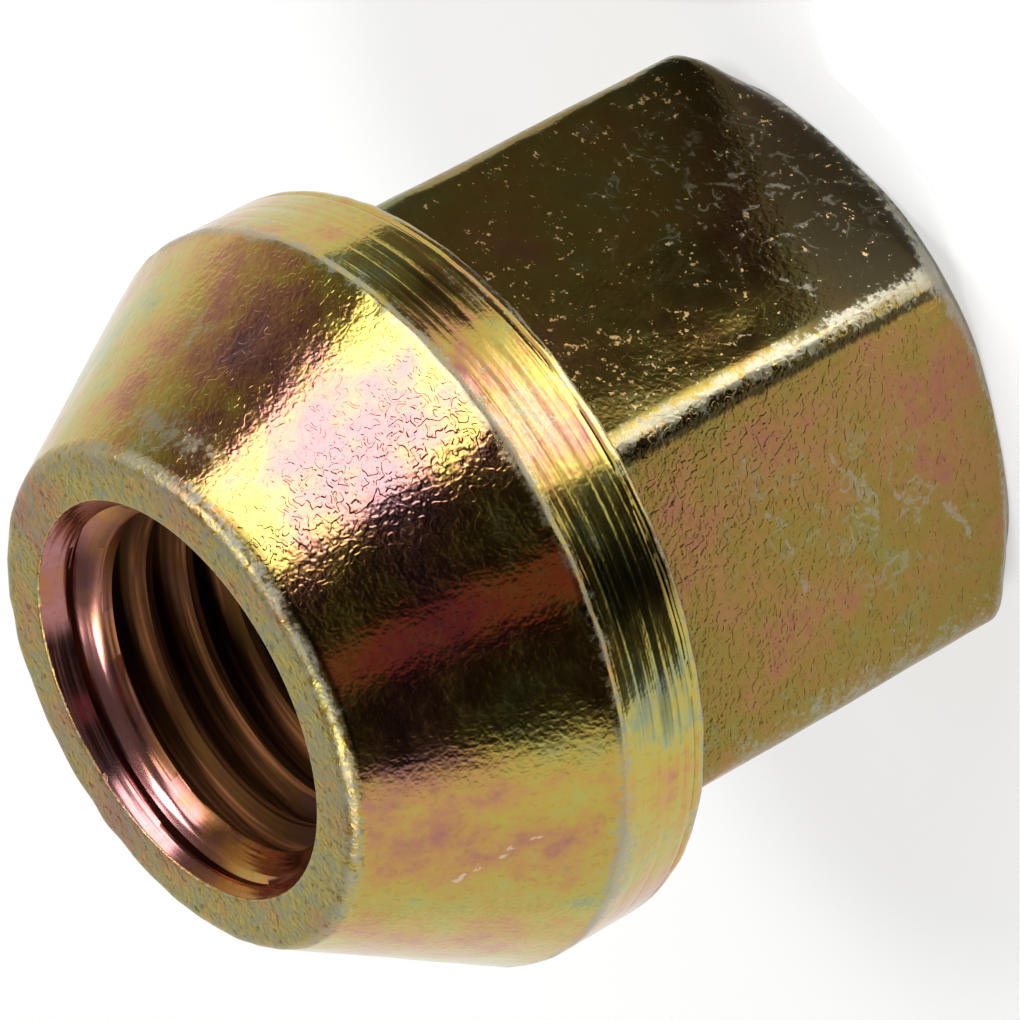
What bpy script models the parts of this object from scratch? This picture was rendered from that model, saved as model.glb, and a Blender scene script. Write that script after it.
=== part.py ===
"""Open-ended conical-seat lug nut: a hexagon, a round collar and a 60 degree seat, turned and tapped through.

The nut stands on its hexagon end with its bore on the Z axis.
All sizes are in metres, +Z is up, and the seat points up.
"""
import math

import bpy
import bmesh

MM = 0.001

# Wrench hexagon
HEX_ACROSS_FLATS = 19.0 * MM
HEX_CORNER_RADIUS = 1.0 * MM
HEX_LENGTH = 13.7 * MM
END_CHAMFER_DIAMETER = 18.8 * MM
END_CHAMFER_ANGLE = math.radians(40.0)

# Round collar and conical seat
COLLAR_DIAMETER = 23.3 * MM
COLLAR_BAND = 3.15 * MM
COLLAR_RIM_RADIUS = 0.45 * MM
SHOULDER_RADIUS = 0.5 * MM
SEAT_ANGLE = math.radians(60.0)
SEAT_HEIGHT = 6.75 * MM
FRONT_EDGE_RADIUS = 0.5 * MM

# Right-hand thread: on the +X side the middle of a groove lies at the start height over the end face
THREAD_MAJOR_DIAMETER = 12.0 * MM
THREAD_PITCH = 1.5 * MM
THREAD_START = 1.42 * MM
THREAD_FLANK_ANGLE = math.radians(60.0)

# Countersink at each end of the bore, a little wider than the thread
MOUTH_CLEARANCE = 0.25 * MM
COUNTERSINK_ANGLE = math.radians(60.0)
MOUTH_EDGE_CHAMFER = 0.12 * MM

# Fineness of the turned faces, of the thread and of the rounded edges
TURNED_STEPS = 96
THREAD_STEPS = 36
FILLET_STEPS = 6
CORNER_STEPS = 6

# How far a cutter runs past the face that it cuts, and how far two joined forms share metal
CUTTER_OVERRUN = 2.0 * MM
JOIN_OVERLAP = 2.0 * MM

# Share of the thread's depth by which the thread cutter reaches into the open bore
GROOVE_OVERRUN = 0.12

# Points closer than this along a turned profile are one point
WELD_DISTANCE = 0.001 * MM

# Faces that turn more than this at an edge meet in a sharp line
SHARP_EDGE_ANGLE = math.radians(25.0)

# Share of a full sharp thread that the nut's flanks keep, and width of a groove's flat root for one pitch
FLANK_SHARE = 5.0 / 8.0
ROOT_FLAT_SHARE = 1.0 / 8.0

collar_bottom = HEX_LENGTH
collar_shoulder = collar_bottom + COLLAR_BAND
nut_length = collar_shoulder + SEAT_HEIGHT
collar_radius = COLLAR_DIAMETER / 2.0
front_radius = collar_radius - SEAT_HEIGHT * math.tan(SEAT_ANGLE / 2.0)
hex_corner_reach = HEX_ACROSS_FLATS / 2.0 / math.cos(math.radians(30.0))
groove_radius = THREAD_MAJOR_DIAMETER / 2.0
flank_slope = math.tan(THREAD_FLANK_ANGLE / 2.0)
thread_depth = FLANK_SHARE * THREAD_PITCH / (2.0 * flank_slope)
bore_radius = groove_radius - thread_depth
mouth_radius = groove_radius + MOUTH_CLEARANCE


def remove_everything():
    """Empty the scene of objects."""
    for old in list(bpy.data.objects):
        bpy.data.objects.remove(old, do_unlink=True)


def new_collection(name):
    """Add a collection to the scene."""
    collection = bpy.data.collections.new(name)
    bpy.context.scene.collection.children.link(collection)
    return collection


def fillet(before, corner, after, radius):
    """Points of an arc that rounds the corner between two straight runs of a profile.

    The arc touches each run at radius * tan(half the turn) from the corner.
    """
    to_before = (before[0] - corner[0], before[1] - corner[1])
    to_after = (after[0] - corner[0], after[1] - corner[1])
    length_before = math.hypot(*to_before)
    length_after = math.hypot(*to_after)
    unit_before = (to_before[0] / length_before, to_before[1] / length_before)
    unit_after = (to_after[0] / length_after, to_after[1] / length_after)
    inner_angle = math.acos(unit_before[0] * unit_after[0] + unit_before[1] * unit_after[1])
    reach = min(radius / math.tan(inner_angle / 2.0), 0.45 * length_before, 0.45 * length_after)
    radius = reach * math.tan(inner_angle / 2.0)
    middle = (unit_before[0] + unit_after[0], unit_before[1] + unit_after[1])
    middle_length = math.hypot(*middle)
    centre_distance = radius / math.sin(inner_angle / 2.0)
    centre = (
        corner[0] + middle[0] / middle_length * centre_distance,
        corner[1] + middle[1] / middle_length * centre_distance,
    )
    start = (corner[0] + unit_before[0] * reach, corner[1] + unit_before[1] * reach)
    end = (corner[0] + unit_after[0] * reach, corner[1] + unit_after[1] * reach)
    start_angle = math.atan2(start[1] - centre[1], start[0] - centre[0])
    end_angle = math.atan2(end[1] - centre[1], end[0] - centre[0])
    sweep = (end_angle - start_angle + math.pi) % (2.0 * math.pi) - math.pi
    points = []
    for step in range(FILLET_STEPS + 1):
        angle = start_angle + sweep * step / FILLET_STEPS
        points.append((centre[0] + radius * math.cos(angle), centre[1] + radius * math.sin(angle)))
    return points


def rounded_profile(corners):
    """Turn (radius, height, fillet radius) corners into a list of (radius, height) points."""
    points = []
    for index, (r, z, rounding) in enumerate(corners):
        if rounding <= 0.0:
            points.append((r, z))
            continue
        before = corners[index - 1]
        after = corners[index + 1]
        points.extend(fillet(before[:2], (r, z), after[:2], rounding))
    return points


def turned_object(name, points, collection, steps=TURNED_STEPS):
    """Spin a profile round the Z axis with a Screw modifier.

    The profile runs down the outer side from top to bottom and starts and ends on the axis.
    """
    mesh = bpy.data.meshes.new(name)
    edges = [(index, index + 1) for index in range(len(points) - 1)]
    mesh.from_pydata([(r, 0.0, z) for r, z in points], edges, [])
    turned = bpy.data.objects.new(name, mesh)
    collection.objects.link(turned)
    spin = turned.modifiers.new("Turn", "SCREW")
    spin.axis = "Z"
    spin.angle = 2.0 * math.pi
    spin.steps = steps
    spin.render_steps = steps
    spin.use_merge_vertices = True
    spin.merge_threshold = WELD_DISTANCE
    return turned


def hide_cutter(cutter):
    """Show a cutter as a wire only."""
    cutter.hide_render = True
    cutter.display_type = "WIRE"
    return cutter


def make_blank_end():
    """Turned blank that gives the hexagon its chamfered end."""
    top = HEX_LENGTH + JOIN_OVERLAP + CUTTER_OVERRUN
    outside = hex_corner_reach + CUTTER_OVERRUN
    chamfer_radius = END_CHAMFER_DIAMETER / 2.0
    chamfer_height = (outside - chamfer_radius) * math.tan(END_CHAMFER_ANGLE)
    profile = [
        (0.0, top),
        (outside, top),
        (outside, chamfer_height),
        (chamfer_radius, 0.0),
        (0.0, 0.0),
    ]
    return hide_cutter(turned_object("blank_end", profile, cutters))


def make_collar_and_seat():
    """Round collar, its rounded shoulder, the cone of the seat and the flat front ring."""
    profile = rounded_profile([
        (0.0, nut_length, 0.0),
        (front_radius, nut_length, FRONT_EDGE_RADIUS),
        (collar_radius, collar_shoulder, SHOULDER_RADIUS),
        (collar_radius, collar_bottom, COLLAR_RIM_RADIUS),
        (0.0, collar_bottom, 0.0),
    ])
    return hide_cutter(turned_object("collar_and_seat", profile, cutters))


def make_bore():
    """Bore at the thread's minor diameter, with a countersink at each end."""
    cone_depth = (mouth_radius - bore_radius) / math.tan(COUNTERSINK_ANGLE / 2.0)
    profile = [
        (0.0, nut_length + CUTTER_OVERRUN),
        (mouth_radius + MOUTH_EDGE_CHAMFER, nut_length + CUTTER_OVERRUN),
        (mouth_radius + MOUTH_EDGE_CHAMFER, nut_length),
        (mouth_radius, nut_length - MOUTH_EDGE_CHAMFER),
        (bore_radius, nut_length - MOUTH_EDGE_CHAMFER - cone_depth),
        (bore_radius, cone_depth),
        (mouth_radius, 0.0),
        (mouth_radius, -CUTTER_OVERRUN),
        (0.0, -CUTTER_OVERRUN),
    ]
    return hide_cutter(turned_object("bore", profile, cutters, THREAD_STEPS))


def make_thread():
    """Tap that cuts the thread: the groove's trapezoid, carried up a right-hand helix by a Screw modifier.

    The groove is narrow at its root and widens along its flanks towards the bore.
    It starts below the end face and runs out above the front ring, and its two ends are filled.
    """
    inner_radius = bore_radius - GROOVE_OVERRUN * thread_depth
    root_half = ROOT_FLAT_SHARE * THREAD_PITCH / 2.0
    inner_half = root_half + (groove_radius - inner_radius) * flank_slope
    turns_below = math.ceil(THREAD_START / THREAD_PITCH) + 1
    start = THREAD_START - turns_below * THREAD_PITCH
    turns = math.ceil((nut_length - start) / THREAD_PITCH) + 1
    profile = [
        (groove_radius, start + root_half),
        (groove_radius, start - root_half),
        (inner_radius, start - inner_half),
        (inner_radius, start + inner_half),
    ]
    mesh = bpy.data.meshes.new("thread")
    edges = [(index, (index + 1) % len(profile)) for index in range(len(profile))]
    mesh.from_pydata([(r, 0.0, z) for r, z in profile], edges, [])
    thread = bpy.data.objects.new("thread", mesh)
    cutters.objects.link(thread)
    helix = thread.modifiers.new("Helix", "SCREW")
    helix.axis = "Z"
    helix.angle = 2.0 * math.pi
    helix.screw_offset = THREAD_PITCH
    helix.iterations = turns
    helix.steps = THREAD_STEPS
    helix.render_steps = THREAD_STEPS
    finish_mesh(thread)

    body = bmesh.new()
    body.from_mesh(thread.data)
    bmesh.ops.holes_fill(body, edges=body.edges, sides=len(profile))
    bmesh.ops.recalc_face_normals(body, faces=body.faces)
    body.to_mesh(thread.data)
    body.free()
    return hide_cutter(thread)


def make_hexagon(name, collection):
    """Hexagonal bar with rounded corners, made as a flat outline with a thickness.

    It runs from the end face into the collar, so that the two forms share metal.
    """
    height = HEX_LENGTH + JOIN_OVERLAP
    curve = bpy.data.curves.new(name, "CURVE")
    curve.dimensions = "2D"
    curve.fill_mode = "BOTH"
    curve.extrude = height / 2.0
    corner_centre = (HEX_ACROSS_FLATS / 2.0 - HEX_CORNER_RADIUS) / math.cos(math.radians(30.0))
    points = []
    for corner in range(6):
        direction = math.radians(30.0 + 60.0 * corner)
        for step in range(CORNER_STEPS + 1):
            angle = direction + math.radians(60.0) * (step / CORNER_STEPS - 0.5)
            points.append((
                corner_centre * math.cos(direction) + HEX_CORNER_RADIUS * math.cos(angle),
                corner_centre * math.sin(direction) + HEX_CORNER_RADIUS * math.sin(angle),
            ))
    spline = curve.splines.new("POLY")
    spline.points.add(len(points) - 1)
    for point, (x, y) in zip(spline.points, points):
        point.co = (x, y, 0.0, 1.0)
    spline.use_cyclic_u = True

    outline = bpy.data.objects.new(name + "_outline", curve)
    collection.objects.link(outline)
    outline.location.z = height / 2.0
    bpy.context.view_layer.update()
    evaluated = outline.evaluated_get(bpy.context.evaluated_depsgraph_get())
    mesh = bpy.data.meshes.new_from_object(evaluated)
    mesh.name = name
    hexagon = bpy.data.objects.new(name, mesh)
    hexagon.matrix_world = outline.matrix_world.copy()
    bpy.data.objects.remove(outline, do_unlink=True)
    collection.objects.link(hexagon)

    body = bmesh.new()
    body.from_mesh(mesh)
    bmesh.ops.remove_doubles(body, verts=body.verts, dist=WELD_DISTANCE)
    bmesh.ops.recalc_face_normals(body, faces=body.faces)
    body.to_mesh(mesh)
    body.free()
    return hexagon


def add_boolean(target, tool, operation):
    """Combine a tool with the target by an exact Boolean."""
    step = target.modifiers.new(operation.title() + " " + tool.name, "BOOLEAN")
    step.operation = operation
    step.solver = "EXACT"
    step.object = tool


def plated_steel():
    """Yellow zinc chromate on steel: a warm olive-gold metal, fairly glossy."""
    material = bpy.data.materials.new("yellow_zinc_chromate_steel")
    material.use_nodes = True
    surface = material.node_tree.nodes["Principled BSDF"]
    surface.inputs["Base Color"].default_value = (0.46, 0.37, 0.13, 1.0)
    surface.inputs["Metallic"].default_value = 1.0
    surface.inputs["Roughness"].default_value = 0.3
    return material


def finish_mesh(target):
    """Replace an object's mesh by the result of its modifiers, smooth but for its real edges."""
    bpy.context.view_layer.update()
    evaluated = target.evaluated_get(bpy.context.evaluated_depsgraph_get())
    finished = bpy.data.meshes.new_from_object(evaluated)
    finished.name = target.name
    target.modifiers.clear()
    target.data = finished
    finished.shade_smooth()
    finished.set_sharp_from_angle(angle=SHARP_EDGE_ANGLE)


remove_everything()
parts = new_collection("lug_nut")
cutters = new_collection("cutters")

lug_nut = make_hexagon("lug_nut", parts)
lug_nut.data.materials.append(plated_steel())
add_boolean(lug_nut, make_blank_end(), "INTERSECT")
add_boolean(lug_nut, make_collar_and_seat(), "UNION")
add_boolean(lug_nut, make_bore(), "DIFFERENCE")
add_boolean(lug_nut, make_thread(), "DIFFERENCE")
finish_mesh(lug_nut)
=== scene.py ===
# %% [markdown]
# # A plated lug nut
# This notebook dresses one lug nut for its portrait. The frame gives the plain
# solid, thread and all. What is added here is a finer skin in its place, with
# soft worn edges and shallow relief, and the yellow chromate film that gives
# plated steel its gold, pink and green.

# %% Load the frame
import math

import bmesh
import bpy
import numpy as np
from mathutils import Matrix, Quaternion, Vector


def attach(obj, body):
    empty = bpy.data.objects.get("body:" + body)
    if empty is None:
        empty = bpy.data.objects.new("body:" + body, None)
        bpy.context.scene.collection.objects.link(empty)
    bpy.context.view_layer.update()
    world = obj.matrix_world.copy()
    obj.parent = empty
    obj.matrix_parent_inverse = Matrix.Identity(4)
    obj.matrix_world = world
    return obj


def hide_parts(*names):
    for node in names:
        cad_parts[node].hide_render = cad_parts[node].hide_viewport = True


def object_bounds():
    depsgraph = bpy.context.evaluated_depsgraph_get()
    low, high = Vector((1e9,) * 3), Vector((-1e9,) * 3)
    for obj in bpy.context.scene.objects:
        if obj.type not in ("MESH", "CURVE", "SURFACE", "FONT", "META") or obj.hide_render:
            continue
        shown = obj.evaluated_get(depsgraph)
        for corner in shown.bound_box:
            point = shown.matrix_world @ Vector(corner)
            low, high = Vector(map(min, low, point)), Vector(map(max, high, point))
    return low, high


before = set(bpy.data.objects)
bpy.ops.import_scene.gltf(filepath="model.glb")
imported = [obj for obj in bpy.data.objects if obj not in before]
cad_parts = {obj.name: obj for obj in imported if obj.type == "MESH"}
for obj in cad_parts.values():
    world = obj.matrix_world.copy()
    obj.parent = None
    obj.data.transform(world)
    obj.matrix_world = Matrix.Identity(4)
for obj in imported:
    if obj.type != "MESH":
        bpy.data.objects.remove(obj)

cad_low, cad_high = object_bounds()
print("solid box in mm:", [round(1000 * v, 2) for v in (*cad_low, *cad_high)])

# %% [markdown]
# ## The nut's own sizes
# The frame gives the length and the collar. The sizes inside that box, such as
# the wrench size and the thread, are those of the forging and of the tap, so
# they are named here in millimetres, the unit that the whole shape is worked
# out in. It is turned to metres once, when the mesh is filled.

# %% Sizes in millimetres
MM = 0.001
nut_length = cad_high.z / MM
collar_radius = cad_high.x / MM

half_flats = 9.5
corner_radius = 1.0
hexagon_length = 13.7
chamfer_circle = 9.4
chamfer_angle = math.radians(40.0)
seat_height = 6.75
seat_slope = math.tan(math.radians(30.0))
shoulder_height = nut_length - seat_height
front_radius = collar_radius - seat_height * seat_slope

# The thread is five eighths as deep as a sharp triangle on its pitch. A groove crosses +X at its start
thread_radius = 6.0
thread_pitch = 1.5
thread_start = 1.42
thread_depth = 0.625 * thread_pitch * math.cos(math.radians(30.0))
crest_radius = thread_radius - thread_depth
mouth_radius = 6.25
countersink_slope = math.tan(math.radians(30.0))

print("length", round(nut_length, 2), "collar radius", round(collar_radius, 2))
print("front ring", round(front_radius, 2), "thread depth", round(thread_depth, 3))

# %% [markdown]
# ## A hexagon as a radius
# A hexagon could be six flat faces with a bevel. Written as a distance from the
# axis at each angle, it can be blended with the turned forms above and below,
# so the whole outside becomes one sheet of rows and columns. The columns crowd
# together at the six corners, where the outline bends.

# %% Outline of the hexagon
corner_centre = (half_flats - corner_radius) / math.cos(math.pi / 6)
corner_reach = math.atan2(corner_radius / 2, corner_centre + corner_radius * math.cos(math.pi / 6))


def hexagon_radius(angle):
    """Distance from the axis to the hexagon's outline.

    On a flat it is half the width across flats over the cosine of the angle from
    the flat's middle. Near a corner it is the far side of a small circle.
    """
    from_flat = (angle + math.pi / 6) % (math.pi / 3) - math.pi / 6
    from_corner = math.pi / 6 - np.abs(from_flat)
    flat = half_flats / np.cos(from_flat)
    inside = np.maximum(corner_radius**2 - (corner_centre * np.sin(from_corner)) ** 2, 0.0)
    rounded = corner_centre * np.cos(from_corner) + np.sqrt(inside)
    return np.where(from_corner < corner_reach, rounded, flat)


columns = 264
per_side = columns // 6
corner_columns = 5
side = np.interp(
    np.arange(per_side) / per_side,
    [0.0, corner_columns / per_side, 1 - corner_columns / per_side, 1.0],
    [-math.pi / 6, -math.pi / 6 + corner_reach, math.pi / 6 - corner_reach, math.pi / 6],
)
crowded_angles = (side[None, :] + math.pi / 3 * np.arange(6)[:, None]).ravel()
even_angles = 2 * math.pi * np.arange(columns) / columns + crowded_angles[0]
print("columns", columns, "of which on each corner", 2 * corner_columns)

# %% [markdown]
# ## Rows down the outside
# The outside is a list of bands, each a few rows of the sheet, from the mouth
# over the cone and collar and down the hexagon to its end face. A band is a
# radius and a height at every row and column. It could be one long profile that
# is spun, but the hexagon isn't round, so each band keeps a radius of its own
# for every column. Turned bands have the same radius all the way round.

# %% Bands of rows
bands = []


def add_band(zone, radius, height, crowding):
    """Keep one band of rows: its zone's name, radius, height and how far its columns crowd to the corners."""
    rows = max(np.shape(radius)[0], np.shape(height)[0])
    bands.append((
        zone,
        np.broadcast_to(radius, (rows, columns)).astype(float),
        np.broadcast_to(height, (rows, columns)).astype(float),
        np.broadcast_to(crowding, (rows,)).astype(float),
    ))


def turned(points):
    """Radius and height columns of a turned band from (radius, height) points."""
    points = np.asarray(points, float)
    return points[:, :1], points[:, 1:]


def inside_run(start, end, rows):
    """Points spaced evenly along a straight run, without its two end points."""
    steps = np.linspace(0, 1, rows + 2)[1:-1]
    return np.asarray(start) + steps[:, None] * (np.asarray(end) - np.asarray(start))


def arc(before, corner, after, radius, rows):
    """Points of an arc that touches both straight runs that meet at a corner.

    Its centre lies on the line that halves the corner, at the radius over the
    sine of half the corner's angle. It starts where the first run touches it.
    """
    corner = np.asarray(corner, float)
    one = (np.asarray(before) - corner) / np.linalg.norm(np.asarray(before) - corner)
    two = (np.asarray(after) - corner) / np.linalg.norm(np.asarray(after) - corner)
    half = math.acos(float(one @ two)) / 2
    centre = corner + (one + two) / np.linalg.norm(one + two) * radius / math.sin(half)
    start = corner + one * radius / math.tan(half) - centre
    end = corner + two * radius / math.tan(half) - centre
    first = math.atan2(start[1], start[0])
    sweep = (math.atan2(end[1], end[0]) - first + math.pi) % (2 * math.pi) - math.pi
    turn = first + sweep * np.linspace(0, 1, rows)
    return centre + radius * np.stack([np.cos(turn), np.sin(turn)], axis=1)


print("columns in each band:", columns)

# %% [markdown]
# ## Ring, cone and collar
# The seat of this nut is a cone of sixty degrees that centres it in the wheel,
# with a narrow ring in front and a round collar behind. A lathe turns all three,
# so each is a straight run, and a short arc softens every edge between them.

# %% Ring, cone and collar
front_edge_radius = 0.5
shoulder_radius = 0.5
rim_radius = 0.45
mouth_edge_radius = 0.12
under_rim_reach = 2.0

mouth_corner = (mouth_radius, nut_length)
front_corner = (front_radius, nut_length)
shoulder_corner = (collar_radius, shoulder_height)
rim_corner = (collar_radius, hexagon_length)
under_rim = (collar_radius - under_rim_reach, hexagon_length)

mouth_depth = (mouth_radius - crest_radius) / countersink_slope
mouth_arc = arc((crest_radius, nut_length - mouth_depth), mouth_corner, front_corner, mouth_edge_radius, 5)
front_arc = arc(mouth_corner, front_corner, shoulder_corner, front_edge_radius, 7)
shoulder_arc = arc(front_corner, shoulder_corner, rim_corner, shoulder_radius, 7)
rim_arc = arc(shoulder_corner, rim_corner, under_rim, rim_radius, 8)

ring_rows = 4
cone_rows = 34
collar_rows = 24
add_band("ring", *turned(mouth_arc), 0.0)
add_band("ring", *turned(inside_run(mouth_arc[-1], front_arc[0], ring_rows)), 0.0)
add_band("ring", *turned(front_arc), 0.0)
add_band("cone", *turned(inside_run(front_arc[-1], shoulder_arc[0], cone_rows)), 0.0)
add_band("collar", *turned(shoulder_arc), 0.0)
collar_run = inside_run(shoulder_arc[-1], rim_arc[0], collar_rows)
add_band("collar", *turned(collar_run), np.linspace(0, 1, collar_rows))
add_band("collar", *turned(rim_arc), 1.0)
print("rows so far:", sum(len(band[1]) for band in bands))

# %% [markdown]
# ## The hexagon below the collar
# The chamfer at the end is a cone that a lathe cuts across the six corners. A
# plain smaller-of-two would meet the flats in a knife edge; forging and tumbling
# leave it soft, so a smooth minimum rounds it over about half a millimetre.

# %% Chamfered hexagon
chamfer_softness = 0.5
end_edge_radius = 0.2
root_radius = 0.25
chamfer_zone = 2.3
outline = hexagon_radius(crowded_angles)[None, :]


def soft_minimum(a, b, width):
    """Smaller of two values, with a parabola in place of the kink where they differ by less than width."""
    overlap = np.maximum(width - np.abs(a - b), 0.0) / width
    return np.minimum(a, b) - overlap**2 * width / 4


def hexagon_body(height):
    """Radius of the chamfered hexagon: the softly smaller one of its outline and the chamfer's cone."""
    cone = chamfer_circle + height / math.tan(chamfer_angle)
    return soft_minimum(outline, cone, chamfer_softness)


root_turn = np.linspace(0, math.pi / 2, 5)[:, None]
root_reach = outline + root_radius * (1 - np.sin(root_turn))
root_height = hexagon_length - root_radius * (1 - np.cos(root_turn))
back_share = np.linspace(0, 1, 4)[1:-1, None]
back_radius = rim_arc[-1][0] + back_share * (outline + root_radius - rim_arc[-1][0])
add_band("under_collar", back_radius, np.full((2, 1), hexagon_length), 1.0)
add_band("flat", root_reach, root_height, 1.0)

side_height = np.concatenate([
    np.linspace(hexagon_length - root_radius, chamfer_zone, 34)[1:],
    np.linspace(chamfer_zone, end_edge_radius, 14)[1:],
])[:, None]
add_band("flat", hexagon_body(side_height), side_height, 1.0)

end_turn = np.linspace(0, math.pi / 2, 5)[1:, None]
end_reach = hexagon_body(np.array([[end_edge_radius]])) - end_edge_radius * (1 - np.cos(end_turn))
end_height = end_edge_radius * (1 - np.sin(end_turn))
add_band("flat", end_reach, end_height, 1.0)

face_share = np.linspace(0, 1, 6)[1:-1, None]
face_radius = end_reach[-1:] + face_share * (mouth_radius - end_reach[-1:])
add_band("end_face", face_radius, np.zeros((4, 1)), 1 - face_share[:, 0])
outside_rows = sum(len(band[1]) for band in bands)
print("rows on the outside:", outside_rows)

# %% [markdown]
# ## The screw thread
# A thread could be cut by a long coiled tool, but a sheet can hold it directly.
# Each row climbs as it goes round, by one pitch a turn, so a row runs along the
# crest or the root and the ridge stays clean. The countersink at each mouth is
# a plain cone, drilled before the tap goes in: where it is wider than the
# thread, the row lies on the cone, so the grooves run out in it.

# %% Rows along the helix
# One turn's profile: half of the groove's floor, a flank, the crest, and the same back, in shares of a pitch
root_half = 0.06
crest_half = 0.08
flank = np.array([0.0, 0.2, 0.4, 0.6, 0.8, 0.94, 1.0])
flank_width = 0.5 - crest_half - root_half
share = np.concatenate([root_half + flank_width * flank, 1 - root_half - flank_width * flank[::-1]])
groove = np.concatenate([1 - flank, 1 - flank[::-1]])
rows_per_turn = len(share)

# Turns start below the end face, because a row climbs a whole pitch before it has gone round
mouth_top = mouth_arc[0][1]
turns_below = 3
turns = turns_below + int(math.ceil((mouth_top - thread_start) / thread_pitch)) + 1
start = (np.arange(turns)[:, None] - turns_below + share[None, :]).ravel() * thread_pitch + thread_start
rise = thread_pitch * even_angles / (2 * math.pi)
bore_height = np.clip(start[:, None] + rise[None, :], 0.0, mouth_top)
bore_thread = crest_radius + thread_depth * np.tile(groove, turns)[:, None]
countersink = mouth_radius - countersink_slope * np.minimum(bore_height, nut_length - bore_height)
add_band("thread", np.maximum(bore_thread, countersink), bore_height, 0.0)
thread_rows = len(start)
print("turns of thread:", round(nut_length / thread_pitch, 1), "rows along the helix:", thread_rows)

# %% [markdown]
# ## One sheet from the bands
# The bands are stacked into whole arrays, and the last row meets the first, so
# the sheet closes like a ring. In the thread a row's end meets the row one turn
# further on. Rows held at the mouths lie on top of each other, and merging
# doubles removes them.

# %% Stack the bands
radius = np.concatenate([band[1] for band in bands])
height = np.concatenate([band[2] for band in bands])
crowding = np.concatenate([band[3] for band in bands])[:, None]
angle = (1 - crowding) * even_angles[None, :] + crowding * crowded_angles[None, :]
zone = np.concatenate([np.full(len(band[1]), band[0]) for band in bands])
rows = len(radius)


def in_zone(name):
    """One on the rows of a zone and nought elsewhere."""
    return np.broadcast_to((zone == name)[:, None], radius.shape).astype(float)


on_ring = in_zone("ring")
on_cone = in_zone("cone")
on_collar = in_zone("collar")
on_hexagon = in_zone("flat")
on_thread = in_zone("thread")
print("rows", rows, "columns", columns, "triangles about", 2 * rows * columns)

# %% [markdown]
# ## Places and edges
# Wear, dents and patches of colour all sit somewhere on the nut. A place could
# be painted by hand. Here it is a soft round mask, given by the compass angle
# about the axis and the height, so it can be read and moved as two numbers. An
# edge is a mask too: one on the edge, falling off over a few tenths.

# %% Masks for places and edges
def near(value, target, width):
    """One at the target, falling off to nothing over a width as a bell curve does."""
    return np.exp(-(((value - target) / width) ** 2))


def turn_from(azimuth):
    """Angle from an azimuth in degrees to each point, in radians between minus and plus half a turn."""
    return (angle - math.radians(azimuth) + math.pi) % (2 * math.pi) - math.pi


def place(azimuth, level, across, along):
    """Soft round mask about a place on the nut, from its azimuth in degrees and its height and size in mm."""
    return near(turn_from(azimuth) * radius, 0.0, across) * near(height, level, along)


from_shoulder = np.hypot(radius - collar_radius, height - shoulder_height)
shoulder_edge = near(from_shoulder, 0.0, 0.45)
front_edge = near(np.hypot(radius - front_radius, height - nut_length), 0.0, 0.4)
rim_edge = on_collar * near(height, hexagon_length + 0.15, 0.3)
from_corner = (math.pi / 6 - np.abs((angle + math.pi / 6) % (math.pi / 3) - math.pi / 6)) * radius
corner_edge = on_hexagon * near(from_corner, 0.0, 0.3)
chamfer_edge = on_hexagon * near(radius, chamfer_circle + height / math.tan(chamfer_angle), 0.3)
edges = shoulder_edge + front_edge + rim_edge + corner_edge + chamfer_edge
print("points near an edge:", int((edges > 0.5).sum()))

# %% [markdown]
# ## Relief in the metal
# A forged flat isn't quite flat, a turned collar keeps a few tool lines, and
# every edge has been knocked. All of it is shallow, some hundredths of a
# millimetre, and is added along the surface's normal. It could be a displacement
# texture, but worked out here it stays in the mesh. The finest wrinkles
# are left to the material's bump.

# %% Relief along the normal
def ripples(points, size, seed, count=24):
    """Soft random relief of about unit height: a sum of sine waves in seeded directions."""
    random = np.random.default_rng(seed)
    total = np.zeros(points.shape[:-1])
    for _ in range(count):
        direction = random.normal(size=3)
        direction *= 2 * math.pi / size * random.uniform(0.7, 1.4) / np.linalg.norm(direction)
        total += np.sin(points @ direction + random.uniform(0, 2 * math.pi))
    return total / math.sqrt(count / 2)


points = np.stack([radius * np.cos(angle), radius * np.sin(angle), height], axis=-1)
across = np.roll(points, -1, axis=1) - np.roll(points, 1, axis=1)
down = np.roll(points, -1, axis=0) - np.roll(points, 1, axis=0)
normal = np.cross(down, across)
normal /= np.maximum(np.linalg.norm(normal, axis=-1, keepdims=True), 1e-9)
if normal[outside_rows // 3, 0] @ points[outside_rows // 3, 0] < 0:
    normal = -normal

# The forging's ripples are drawn out along the bar, to about twice their width
drawn_out = np.array([1.0, 1.0, 0.45])
lift = on_hexagon * 0.009 * ripples(points * drawn_out, 2.2, 1)
lift += on_hexagon * 0.004 * ripples(points * drawn_out, 0.9, 2)
lift += on_cone * 0.004 * ripples(points, 1.8, 3)

# Lines that the lathe left round the collar: height, width and how far they stand out
tool_lines = [(14.26, 0.06, -0.045), (14.40, 0.05, 0.022), (15.25, 0.08, -0.014), (16.0, 0.06, -0.008)]
for line_level, line_width, line_lift in tool_lines:
    lift += on_collar * line_lift * near(height, line_level, line_width)

lift += np.clip(edges, 0, 1) * 0.012 * ripples(points, 1.1, 4)

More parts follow.
